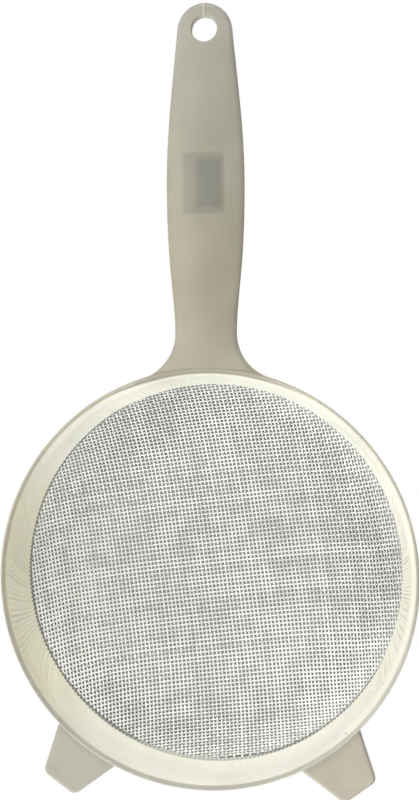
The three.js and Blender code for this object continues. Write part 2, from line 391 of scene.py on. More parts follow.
class PartSheet(NodeSheet):
    """Nodes of a material that is painted by place, in millimetres from the middle of the lip's top."""

    def __init__(self, tree: bpy.types.NodeTree, origin: Vector) -> None:
        """Starts on an existing tree with the place on the part.

        Args:
            tree: The material's nodes.
            origin: The middle of the lip's top in metres.
        """
        super().__init__(tree)
        self.where = self.add("ShaderNodeTexCoord").outputs["Object"]
        scaled = self.vector("SCALE", self.vector("SUBTRACT", self.where, tuple(origin)).outputs[0])
        scaled.inputs["Scale"].default_value = 1.0 / MM
        self.x, self.y, self.z = self.add("ShaderNodeSeparateXYZ", scaled.outputs[0]).outputs
        flat = self.vector("MULTIPLY", scaled.outputs[0], (1.0, 1.0, 0.0)).outputs[0]
        self.radius = self.vector("LENGTH", flat).outputs["Value"]
        from_handle = self.math("ARCTAN2", self.times(self.x, -1.0), self.y)
        self.angle = self.math("ADD", from_handle, math.pi / 2)

    def facing(self, *sectors: Sector) -> Socket:
        """1 inside any of some stretches of the ring, fading out to both sides.

        Args:
            *sectors: The stretches.

        Returns:
            The share.
        """
        shares = []
        for sector in sectors:
            along = self.math("COSINE", self.math("SUBTRACT", self.angle, math.radians(sector.middle)))
            reach, full = (math.cos(math.radians(angle)) for angle in (sector.reach, sector.full))
            shares.append(self.ease(along, reach, full))
        return reduce(lambda first, second: self.math("MAXIMUM", first, second), shares)

    def off_middle(self, number: Socket) -> Socket:
        """How far a number is from the middle between two whole numbers."""
        return self.math("ABSOLUTE", self.math("SUBTRACT", self.math("FRACT", number), 0.5))


@dataclass(frozen=True)
class SurfaceGrain:
    """Shared effect: fine grain and broad mottling of a worked surface, both counted in each metre."""

    grain: float
    mottle: float
    tones: Span = (1.0, 1.0)
    rough_swing: Span = (-0.06, 0.1)
    relief: float = 0.0
    relief_depth: float = 0.0
    grain_span: Span = (0.25, 0.75)
    mottle_span: Span = (0.3, 0.7)

    @staticmethod
    def tree() -> bpy.types.NodeTree:
        """The node group, made the first time it is asked for.

        Returns:
            A group with the inputs Grain Scale and Mottle Scale and the outputs Grain and Mottle.
        """
        known = bpy.data.node_groups.get("surface_grain")
        if known:
            return known
        tree = bpy.data.node_groups.new("surface_grain", "ShaderNodeTree")
        details = {"Grain": 3.0, "Mottle": 4.0}
        for name in details:
            tree.interface.new_socket(f"{name} Scale", in_out="INPUT", socket_type="NodeSocketFloat")
            tree.interface.new_socket(name, in_out="OUTPUT", socket_type="NodeSocketFloat")
        sheet = NodeSheet(tree)
        entry = sheet.add("NodeGroupInput")
        result = sheet.add("NodeGroupOutput")
        where = sheet.add("ShaderNodeTexCoord").outputs["Object"]
        for name, detail in details.items():
            noise = sheet.add("ShaderNodeTexNoise")
            sheet.fill(noise, {"Vector": where, "Scale": entry.outputs[f"{name} Scale"], "Detail": detail})
            sheet.feed(noise.outputs["Fac"], result.inputs[name])
        return tree

    def place(self, sheet: NodeSheet) -> Node:
        """Places the group in a material.

        Args:
            sheet: The material's nodes.

        Returns:
            The group node.
        """
        node = sheet.add("ShaderNodeGroup", node_tree=self.tree())
        sheet.fill(node, {"Grain Scale": self.grain, "Mottle Scale": self.mottle})
        return node

    def tone(self, sheet: NodeSheet, group: Node) -> Socket:
        """The mottling as a tone to multiply a colour by."""
        return sheet.ease(group.outputs["Mottle"], *self.mottle_span, *self.tones)

    def roughen(self, sheet: NodeSheet, group: Node, shader: Node, roughness: float) -> None:
        """Makes a shader unevenly rough, with a fine relief where the grain has one.

        Args:
            sheet: The material's nodes.
            group: The placed group.
            shader: The shader.
            roughness: Its middle roughness.
        """
        rough = sheet.ease(group.outputs["Grain"], *self.grain_span,
                           *(roughness + swing for swing in self.rough_swing))
        sheet.fill(shader, {"Roughness": rough})
        if self.relief:
            bump = sheet.add("ShaderNodeBump")
            sheet.fill(bump, {"Strength": self.relief, "Distance": self.relief_depth * MM,
                              "Height": group.outputs["Grain"]})
            sheet.fill(shader, {"Normal": bump.outputs[0]})


def new_material(name: str) -> tuple[Material, NodeSheet, Node]:
    """Makes an empty material with a Principled shader.

    Args:
        name: Name of the material.

    Returns:
        The material, its nodes, and the shader.
    """
    material = bpy.data.materials.new(name)
    material.use_nodes = True
    material.node_tree.nodes.clear()
    sheet = NodeSheet(material.node_tree)
    shader = sheet.add("ShaderNodeBsdfPrincipled")
    sheet.add("ShaderNodeOutputMaterial", shader.outputs[0])
    return material, sheet, shader


@dataclass(frozen=True)
class StrokeFan:
    """Wires that show through one side of the collar and spread as they climb it. Angles are in degrees."""

    side: Sector
    axis: float
    splay: float
    climb: Span
    share: float


@dataclass(frozen=True)
class Patch:
    """A painted rectangle of the plan, with how soft its edges are across and along the handle."""

    across: Span
    along: Span
    soft: Span
    share: float
    colour: Colour
    blend: Blend = Blend.COVER

    def strength(self, sheet: PartSheet) -> Socket:
        """How much of the patch is laid on at each place."""
        return sheet.times(sheet.band(sheet.x, self.across, self.soft[0]),
                           sheet.band(sheet.y, self.along, self.soft[1]), self.share)


@dataclass(frozen=True)
class MouldedPlastic:
    """Translucent grey-beige moulding, paler where it lies over the cloth."""

    place: Place
    collar: CollarSection
    shell: Colour = (0.43, 0.398, 0.299)
    shell_pale: Colour = (0.458, 0.444, 0.374)
    # Paler shell colour for the painted light on the right tab.
    shell_painted_light: Colour = (0.53, 0.49, 0.395)
    # Painted light and shade of the lip on its left, right and front.
    lip_left_painted_light: Colour = (0.625, 0.595, 0.48)
    lip_right_painted_shade: Colour = (0.485, 0.462, 0.375)
    lip_front_painted_light: Colour = (0.56, 0.55, 0.49)
    cream: Colour = (0.955, 0.935, 0.80)
    # Painted shade and light of the wall: darker towards the handle and on the left, paler at the front.
    cream_handle_painted_shade: Colour = (0.82, 0.82, 0.725)
    cream_left_painted_shade: Colour = (0.945, 0.905, 0.735)
    cream_front_painted_light: Colour = (0.98, 0.97, 0.865)
    wire_shadow: Colour = (0.36, 0.34, 0.28)
    seam_shadow: Colour = (0.10, 0.10, 0.085)
    flash: Colour = (0.52, 0.52, 0.47)
    speck: Colour = (0.34, 0.27, 0.18)
    plate_tint: Colour = (0.61, 0.645, 0.69)
    grain: SurfaceGrain = SurfaceGrain(2600.0, 55.0, (0.95, 1.05), (-0.06, 0.08), 0.12, 0.05)
    roughness: float = 0.42
    refraction: float = 1.49
    scatter: float = 0.35
    scatter_depth: float = 0.0022
    scatter_reach: Triple = (1.0, 0.85, 0.6)

    # Handle and tabs, by place along and across them.
    mid_handle: Span = (110.0, 165.0)
    upper_handle: Span = (165.0, 215.0)
    mid_paleness: float = 0.35
    upper_paleness: float = 0.65
    tabs: Span = (-40.0, -60.0)
    tab_paleness: float = 0.9
    # Painted shade: the right side of the handle is darkened a little, away from the light.
    right_flank_painted_shade: Patch = Patch((-3.0, 99.0), (85.0, 205.0), (5.0, 12.0), 0.05, BLACK)
    # Painted highlight: a paler stripe where the handle's root meets the lip.
    root_painted_highlight: Patch = Patch((-99.0, 99.0), (74.0, 92.0), (1.0, 9.0), 0.09, cream)
    # Painted light: the right tab is paler than the left.
    right_tab_painted_light: Patch = Patch((25.0, 199.0), (-199.0, -50.0), (15.0, 10.0), 1.0, shell_painted_light)
    # Gate mark at the tip: its groove is painted as a light line with a shaded line beside it.
    gate_mark_painted_highlight: Patch = Patch((-0.45, 0.35), (213.7, 299.0), (0.25, 0.5), 1.0, (1.3, 1.3, 1.32), Blend.TINT)
    gate_mark_painted_shade: Patch = Patch((0.55, 0.85), (213.7, 299.0), (0.2, 0.5), 1.0, (0.7, 0.7, 0.7), Blend.TINT)
    plate: Patch = Patch((-8.3, 7.2), (138.6, 162.0), (1.0, 1.0), 0.55, plate_tint, Blend.TINT)
    plate_core: Patch = Patch((-3.3, 6.6), (141.0, 159.6), (1.8, 1.4), 0.4, plate_tint, Blend.TINT)

    # Lip, with its painted light and shade round the ring, and heights over the strip inside it.
    lip_edge: Span = (79.9, 80.6)
    lip_light_across: Span = (-70.0, 70.0)
    lip_light_front: Span = (10.0, -55.0)
    pale_lip_painted_light: tuple[Sector, ...] = (Sector(42.0, 18.0, 42.0), Sector(322.0, 16.0, 38.0))
    pale_lip_painted_light_share: float = 0.25
    root_lip_painted_shade: Sector = Sector(90.0, 12.0, 22.0)
    root_rise: float = 1.3
    root_rise_side: Sector = Sector(90.0, 12.0, 32.0)
    # Painted shade in the crease between the lip and the handle.
    groove_shade_side: Sector = Sector(94.0, 22.0, 40.0)
    groove_shade_heights: Span = (0.4, 1.7)
    groove_shade_soft: float = 0.4
    groove_shade_share: float = 0.8

    # Wall, with painted light and shade by side, and heights over its lower edge for the flash and the
    # painted shade at the seam.
    wall_top: Span = (0.6, -0.3)
    wall_edge: Span = (80.1, 79.85)
    inner_soft: float = 0.3
    handle_wall_painted_shade: tuple[Sector, ...] = (Sector(72.0, 32.0, 50.0),)
    left_wall_painted_shade: tuple[Sector, ...] = (Sector(184.0, 24.0, 46.0),)
    wall_painted_light: tuple[Sector, ...] = (Sector(275.0, 25.0, 60.0), Sector(130.0, 12.0, 30.0))
    speck_side: Sector = Sector(322.0, 16.0, 42.0)
    speck_scale: float = 210.0
    speck_sizes: Step = (0.55, 1.0, 0.0, 0.11)
    speck_soft: float = 0.04
    speck_share: float = 0.6
    fans: tuple[StrokeFan, ...] = (
        StrokeFan(Sector(187.0, 12.0, 46.0), 194.0, 0.28, (0.1, 0.9), 0.4),
        StrokeFan(Sector(357.0, 14.0, 42.0), 347.0, 0.14, (-0.2, 0.72), 0.8),
        StrokeFan(Sector(104.0, 12.0, 42.0), 110.0, 0.14, (-0.2, 0.6), 0.45),
        StrokeFan(Sector(270.0, 6.0, 22.0), 272.0, 0.3, (0.2, 0.8), 0.16),
    )
    fan_soft: float = 0.14
    fan_patches: Step = (0.4, 0.6, 0.2, 1.0)
    stroke_count: int = 380
    stroke_edge: Span = (0.26, 0.08)
    stroke_tones: Span = (0.1, 1.0)
    flash_side: Sector = Sector(266.0, 26.0, 46.0)
    flash_heights: Span = (3.8, 3.0)
    flash_share: float = 0.75
    row_height: float = 1.5
    dot_across: Span = (0.3, 0.12)
    dot_along: Span = (0.34, 0.16)
    dot_share: float = 0.6
    # Painted shade in the gap where the cloth leaves the collar.
    seam_shade_sides: tuple[Sector, ...] = (Sector(182.0, 58.0, 72.0), Sector(308.0, 18.0, 30.0))
    seam_count: int = 276
    seam_shade_teeth: float = 2.6
    seam_shade_heights: Span = (3.4, 2.4)
    seam_shade_share: float = 0.88

    def build(self) -> Material:
        """Makes the material.

        Returns:
            The finished material.
        """
        material, plain, shader = new_material("translucent_moulding")
        sheet = PartSheet(plain.tree, self.place.origin())
        group = self.grain.place(sheet)
        level = sheet.math("MULTIPLY_ADD", sheet.facing(self.root_rise_side), self.root_rise, sheet.z)
        level = sheet.math("ADD", level, self.collar.strip_drop)
        past_lip = sheet.ease(sheet.radius, *self.lip_edge)
        colour = sheet.mix(past_lip, self._lip(sheet, level), self._arms(sheet))
        backed = sheet.times(sheet.ease(level, *self.wall_top), sheet.ease(sheet.radius, *self.wall_edge))
        face = sheet.math("MULTIPLY_ADD", sheet.z, -self.collar.slope, sheet.radius)
        middle = self.collar.crest_radius + self.collar.wall / 2
        inside = sheet.ease(face, middle + self.inner_soft, middle - self.inner_soft)
        wall = self._wall(sheet, group)
        wall = sheet.mix(inside, wall, self._lower_edge(sheet, wall))
        colour = sheet.toned(sheet.mix(backed, colour, wall), self.grain.tone(sheet, group))
        sheet.fill(shader, {"Base Color": colour, "IOR": self.refraction, "Subsurface Weight": self.scatter,
                            "Subsurface Radius": self.scatter_reach, "Subsurface Scale": self.scatter_depth})
        self.grain.roughen(sheet, group, shader, self.roughness)
        return material

    def _arms(self, sheet: PartSheet) -> Socket:
        """Colour of the handle and the tabs, with painted shade on the handle's right side, a painted
        highlight at its root, painted light on the right tab, the plate showing through, and the gate mark
        at the tip painted as a light line with a shaded line beside it.

        Args:
            sheet: The material's nodes.

        Returns:
            The colour.
        """
        upper = sheet.ease(sheet.y, *self.upper_handle, 0.0, self.upper_paleness)
        to_tip = sheet.math("MULTIPLY_ADD", sheet.ease(sheet.y, *self.mid_handle), self.mid_paleness, upper)
        pale = sheet.math("MAXIMUM", to_tip, sheet.ease(sheet.y, *self.tabs, 0.0, self.tab_paleness))
        colour = sheet.mix(pale, self.shell, self.shell_pale)
        # Painted shade and light on the handle and the right tab, and the gate mark, laid on one after
        # another.
        for patch in (self.right_flank_painted_shade, self.root_painted_highlight, self.right_tab_painted_light, self.gate_mark_painted_highlight, self.gate_mark_painted_shade):
            colour = sheet.mix(patch.strength(sheet), colour, patch.colour, patch.blend)
        behind = sheet.math("ADD", self.plate.strength(sheet), self.plate_core.strength(sheet))
        return sheet.mix(behind, colour, self.plate.colour, self.plate.blend)

    def _lip(self, sheet: PartSheet, level: Socket) -> Socket:
        """Colour of the lip, with painted light and shade round the ring and painted shade in the groove at
        the handle.

        Args:
            sheet: The material's nodes.
            level: Height over the strip inside the lip.

        Returns:
            The colour.
        """
        # Painted light and shade: the lip is lighter or darker round the ring by how light falls on it.
        lip = sheet.mix(sheet.ease(sheet.x, *self.lip_light_across), self.lip_left_painted_light, self.lip_right_painted_shade)
        lip = sheet.mix(sheet.ease(sheet.y, *self.lip_light_front), lip, self.lip_front_painted_light)
        lip = sheet.mix(sheet.times(sheet.facing(*self.pale_lip_painted_light), self.pale_lip_painted_light_share), lip, self.cream)
        lip = sheet.mix(sheet.facing(self.root_lip_painted_shade), lip, self.shell)
        # Painted shade in the crease at the handle.
        groove_shade = sheet.times(sheet.band(level, self.groove_shade_heights, self.groove_shade_soft),
                             sheet.facing(self.groove_shade_side), self.groove_shade_share)
        return sheet.mix(groove_shade, lip, self.wire_shadow)

    def _wall(self, sheet: PartSheet, group: Node) -> Socket:
        """Colour of the wall, with painted light and shade by side and the wires inside it showing faintly
        as a fan on each side.

        Args:
            sheet: The material's nodes.
            group: The shared grain effect.

        Returns:
            The colour.
        """
        colour: object = self.cream
        # Painted light and shade on the wall by side.
        for sectors, tone in ((self.handle_wall_painted_shade, self.cream_handle_painted_shade), (self.left_wall_painted_shade, self.cream_left_painted_shade),
                              (self.wall_painted_light, self.cream_front_painted_light)):
            colour = sheet.mix(sheet.facing(*sectors), colour, tone)
        colour = self._specks(sheet, colour)
        climb = sheet.math("MULTIPLY_ADD", sheet.z, 1.0 / self.collar.depth, 1.0)
        broken = sheet.ease(group.outputs["Mottle"], *self.fan_patches)
        for fan in self.fans:
            twice = sheet.math("MULTIPLY_ADD", sheet.angle, 2.0, -2.0 * math.radians(fan.axis))
            bend = sheet.times(climb, sheet.math("SINE", twice), fan.splay)
            bent = sheet.math("SUBTRACT", sheet.angle, bend)
            number = sheet.times(bent, self.stroke_count / (2 * math.pi))
            each = sheet.add("ShaderNodeTexWhiteNoise", noise_dimensions="1D")
            sheet.fill(each, {"W": sheet.math("FLOOR", number)})
            share = sheet.times(sheet.ease(sheet.off_middle(number), *self.stroke_edge),
                                sheet.ease(each.outputs["Value"], 0.0, 1.0, *self.stroke_tones),
                                sheet.facing(fan.side), sheet.band(climb, fan.climb, self.fan_soft),
                                fan.share, broken)
            colour = sheet.mix(share, colour, self.wire_shadow)
        return colour

    def _specks(self, sheet: PartSheet, colour: Socket) -> Socket:
        """Scatters small brown specks through the wall on the right of the front.

        Args:
            sheet: The material's nodes.
            colour: The colour so far.

        Returns:
            The new colour.
        """
        cells = sheet.add("ShaderNodeTexVoronoi")
        sheet.fill(cells, {"Vector": sheet.where, "Scale": self.speck_scale})
        pick = sheet.add("ShaderNodeSeparateColor", cells.outputs["Color"])
        size = sheet.ease(pick.outputs[0], *self.speck_sizes)
        dot = sheet.ease(sheet.math("SUBTRACT", cells.outputs["Distance"], size), 0.0, -self.speck_soft)
        share = sheet.times(dot, sheet.facing(self.speck_side), self.speck_share)
        return sheet.mix(share, colour, self.speck)

    def _lower_edge(self, sheet: PartSheet, colour: Socket) -> Socket:
        """Thin flash over the first rows of wires, and painted shade in the gap where the cloth comes out.

        Args:
            sheet: The material's nodes.
            colour: The colour so far.

        Returns:
            The new colour.
        """
        height = sheet.math("ADD", sheet.z, self.collar.depth)
        between = sheet.off_middle(sheet.times(sheet.angle, self.seam_count / (2 * math.pi)))
        thin = sheet.times(sheet.facing(self.flash_side), sheet.ease(height, *self.flash_heights))
        colour = sheet.mix(sheet.times(thin, self.flash_share), colour, self.flash)
        row = sheet.off_middle(sheet.times(height, 1.0 / self.row_height))
        dot = sheet.times(sheet.ease(between, *self.dot_across), sheet.ease(row, *self.dot_along))
        colour = sheet.mix(sheet.times(dot, thin, self.dot_share), colour, self.seam_shadow)
        # Painted shade with a toothed edge along the gap under the wall.
        toothed = sheet.math("MULTIPLY_ADD", between, self.seam_shade_teeth, height)
        seam_shade = sheet.times(sheet.facing(*self.seam_shade_sides), sheet.ease(toothed, *self.seam_shade_heights))
        return sheet.mix(sheet.times(seam_shade, self.seam_shade_share), colour, self.seam_shadow)


@dataclass(frozen=True)
class DrawnWire:
    """Bright drawn steel wire, with painted shade where the wires dip under each other and painted light and
    shade by side.
    """

    crown: Colour = (0.99, 0.99, 0.965)
    # Painted shade where the wires dip under each other.
    dip_painted_shade: Colour = (0.34, 0.34, 0.33)
    dip_shade_to_crown: Span = (-0.35, 0.7)
    roughness: float = 0.74
    grain: SurfaceGrain = SurfaceGrain(5200.0, 140.0, (0.92, 1.06), (-0.07, 0.1))

    def build(self) -> Material:
        """Makes the material.

        Returns:
            The finished material.
        """
        material, sheet, shader = new_material("drawn_wire")
        group = self.grain.place(sheet)
        # Painted shade at the dips and painted light on some sides, read from the weave height.
        height = sheet.ease(sheet.attribute("weave_height_and_light"), *self.dip_shade_to_crown)
        tone = sheet.times(sheet.attribute("wire_tone_and_side_shade"), self.grain.tone(sheet, group))
        colour = sheet.toned(sheet.mix(height, self.dip_painted_shade, self.crown), tone)
        sheet.fill(shader, {"Base Color": colour, "Metallic": 1.0})
        self.grain.roughen(sheet, group, shader, self.roughness)
        return material


@dataclass(frozen=True)
class BarePlate:
    """Plain satin plate of the same plastic, a little darker than the handle."""

    face: Colour = (0.33, 0.315, 0.25)
    worn: Colour = (0.40, 0.385, 0.31)
    worn_span: Span = (0.35, 0.7)
    roughness: float = 0.34
    grain: SurfaceGrain = SurfaceGrain(1800.0, 160.0, relief=0.2, relief_depth=0.04)

    def build(self) -> Material:
        """Makes the material.

        Returns:
            The finished material.
        """
        material, sheet, shader = new_material("bare_plate")
        group = self.grain.place(sheet)
        colour = sheet.mix(sheet.ease(group.outputs["Mottle"], *self.worn_span), self.face, self.worn)
        sheet.fill(shader, {"Base Color": colour})
        self.grain.roughen(sheet, group, shader, self.roughness)
        return material


def mesh_object(name: str, points: Array, faces: Sequence[Sequence[int]], merge: bool = False) -> Piece:
    """Makes a mesh object.

    Args:
        name: Name of the object and its mesh.
        points: Array of (x, y, z) rows in metres of the shared frame.
        faces: Numbers of the points of each face.
        merge: Whether points that coincide become one and the faces are turned outward.

    Returns:
        The object, linked to the scene.
    """
    mesh = bpy.data.meshes.new(name)
    mesh.from_pydata(points.tolist(), [], faces)
    if merge:
        work = bmesh.new()
        work.from_mesh(mesh)
        bmesh.ops.remove_doubles(work, verts=work.verts, dist=TINY)
        bmesh.ops.recalc_face_normals(work, faces=work.faces)
        work.to_mesh(mesh)
        work.free()
    mesh.validate()
    piece = bpy.data.objects.new(name, mesh)
    bpy.context.scene.collection.objects.link(piece)
    return piece


def grid_faces(rows: int, columns: int, wrap_rows: bool = False, wrap_columns: bool = False) -> Array:
    """Four-sided faces of a grid of points.

    Args:
        rows: Number of rows.
        columns: Number of points in a row.
        wrap_rows: Whether the last row joins the first.
        wrap_columns: Whether the end of a row joins its start.

    Returns:
        Array with the four point numbers of each face.
    """
    row = np.arange(rows if wrap_rows else rows - 1)[:, None]
    column = np.arange(columns if wrap_columns else columns - 1)[None, :]
    next_row = (row + 1) % rows
    next_column = (column + 1) % columns
    corners = [row * columns + column, next_row * columns + column,
               next_row * columns + next_column, row * columns + next_column]
    return np.stack([c.ravel() for c in np.broadcast_arrays(*corners)], axis=1)


def capped_faces(rows: int, columns: int, first: int = 0) -> list[list[int]]:
    """Faces of a closed tube: a grid that goes round, and a cap on each end.

    Args:
        rows: Number of rings.
        columns: Number of points in a ring.
        first: Number of the first point.

    Returns:
        The point numbers of each face.
    """
    faces = (grid_faces(rows, columns, wrap_columns=True) + first).tolist()
    end = first + rows * columns
    return faces + [list(range(first, first + columns)), list(range(end - 1, end - 1 - columns, -1))]


def carve(target: Piece, tool: Piece, way: Carve) -> None:
    """Joins a closed mesh to another or cuts it away, and removes the tool.

    Args:
        target: The mesh that is changed.
        tool: The mesh that is joined or cut away.
        way: Whether to join or to cut.
    """
    step = target.modifiers.new("carve", "BOOLEAN")
    step.operation = way.value
    step.solver = "EXACT"
    step.object = tool
    graph = bpy.context.evaluated_depsgraph_get()
    result = bpy.data.meshes.new_from_object(target.evaluated_get(graph))
    target.modifiers.clear()
    old = target.data
    target.data = result
    result.name = target.name
    bpy.data.meshes.remove(old)
    bpy.data.meshes.remove(tool.data)


def store(mesh: bpy.types.Mesh, name: str, values: Array) -> None:
    """Stores one number for each point of a mesh."""
    layer = mesh.attributes.new(name, "FLOAT", "POINT")
    layer.data.foreach_set("value", np.ascontiguousarray(values, dtype=np.float32))


@dataclass(frozen=True)
class SideTone:
    """A change of the cloth that grows towards one side of the bowl, whose heading is in degrees."""

    heading: float
    start: float
    end: float
    amount: float

    def at(self, points: Array) -> Array:
        """How strong the change is.

        Args:
            points: Array of (x, y, z) rows from the axis.

        Returns:
            One value for each point, from 0 to the full amount.
        """
        heading = math.radians(self.heading)
        toward = points[:, 0] * math.cos(heading) + points[:, 1] * math.sin(heading)
        return self.amount * np.clip((toward - self.start) / (self.end - self.start), 0.0, 1.0)


@dataclass
class DrapedNet:
    """Flat cloth pressed into the bowl: a square net whose sides keep one length."""

    bowl: BowlSection
    step: float = 1.0
    margin: float = 1.12
    rounds: int = 6
    table_margin: float = 1.2
    table_rows: int = 600

    def __post_init__(self) -> None:
        """Lays a quarter of the net, knot by knot from the two neighbours nearer to the middle."""
        count = int(self.margin * self.bowl.mouth_arc / self.step)
        mouth = self.bowl.mouth_radius
        radii = np.linspace(0.0, self.table_margin * mouth, self.table_rows)
        past = np.maximum(radii - mouth, 0.0) / math.cos(self.bowl.mouth_lean)
        arcs = self.bowl.at(np.minimum(radii, mouth))[2] + past
        self._knots = np.zeros((count, count, 2))
        self._knots[:, 0, 0] = self._knots[0, :, 1] = np.interp(np.arange(count) * self.step, arcs, radii)
        for total in range(2, 2 * count - 1):
            i = np.arange(max(1, total - count + 1), min(count, total))
            j = total - i
            before = self._knots[i - 1, j], self._knots[i, j - 1]
            spot = before[0] + before[1] - self._knots[i - 1, j - 1]
            for _ in range(self.rounds):
                spot = self._settled(spot, *before)
            self._knots[i, j] = spot

    def _side(self, spot: Array) -> tuple[Array, Array]:
        """The bowl at places in plan, with its side drawn on past the collar.

        Args:
            spot: Array of (x, y) rows.

        Returns:
            Heights over the bottom, and slopes along x and y.
        """
        radius = np.hypot(spot[:, 0], spot[:, 1])
        lean, height, _ = self.bowl.at(np.minimum(radius, self.bowl.mouth_radius))
        slope = np.tan(lean)
        over = np.maximum(radius - self.bowl.mouth_radius, 0.0)
        return height + over * slope, spot * (slope / np.maximum(radius, TINY))[:, None]

    def _settled(self, spot: Array, first: Array, second: Array) -> Array:
        """Brings knots nearer to one step from each of two neighbours.

        Args:
            spot: Places of the knots in plan.
            first: Places of one neighbour of each.
            second: Places of the other neighbour.

        Returns:
            The better places.
        """
        height, slope = self._side(spot)
        misses, pulls = [], []
        for near in (first, second):
            gap, climb = spot - near, height - self._side(near)[0]
            misses.append((gap ** 2).sum(1) + climb ** 2 - self.step ** 2)
            pulls.append(2 * (gap + climb[:, None] * slope))
        (a, b), (c, d) = pulls[0].T, pulls[1].T
        scale = a * d - b * c
        scale = np.where(np.abs(scale) < TINY, TINY, scale)
        move = np.stack([misses[0] * d - misses[1] * b, misses[1] * a - misses[0] * c], axis=1)
        return spot - np.clip(move / scale[:, None], -self.step, self.step)

    def plan_at(self, across: Array, along: Array) -> Array:
        """Places in plan of points given by lengths along the cloth.

        Args:
            across: Signed lengths across the warp.
            along: Signed lengths across the weft.

        Returns:
            Array of (x, y) rows.
        """
        last = len(self._knots) - 1 - TINY
        a, b = (np.minimum(np.abs(length) / self.step, last) for length in (across, along))
        i, j = a.astype(int), b.astype(int)
        s, t = (a - i)[:, None], (b - j)[:, None]
        near = (1 - t) * self._knots[i, j] + t * self._knots[i, j + 1]
        far = (1 - t) * self._knots[i + 1, j] + t * self._knots[i + 1, j + 1]
        return ((1 - s) * near + s * far) * np.sign(np.stack([across, along], axis=1))


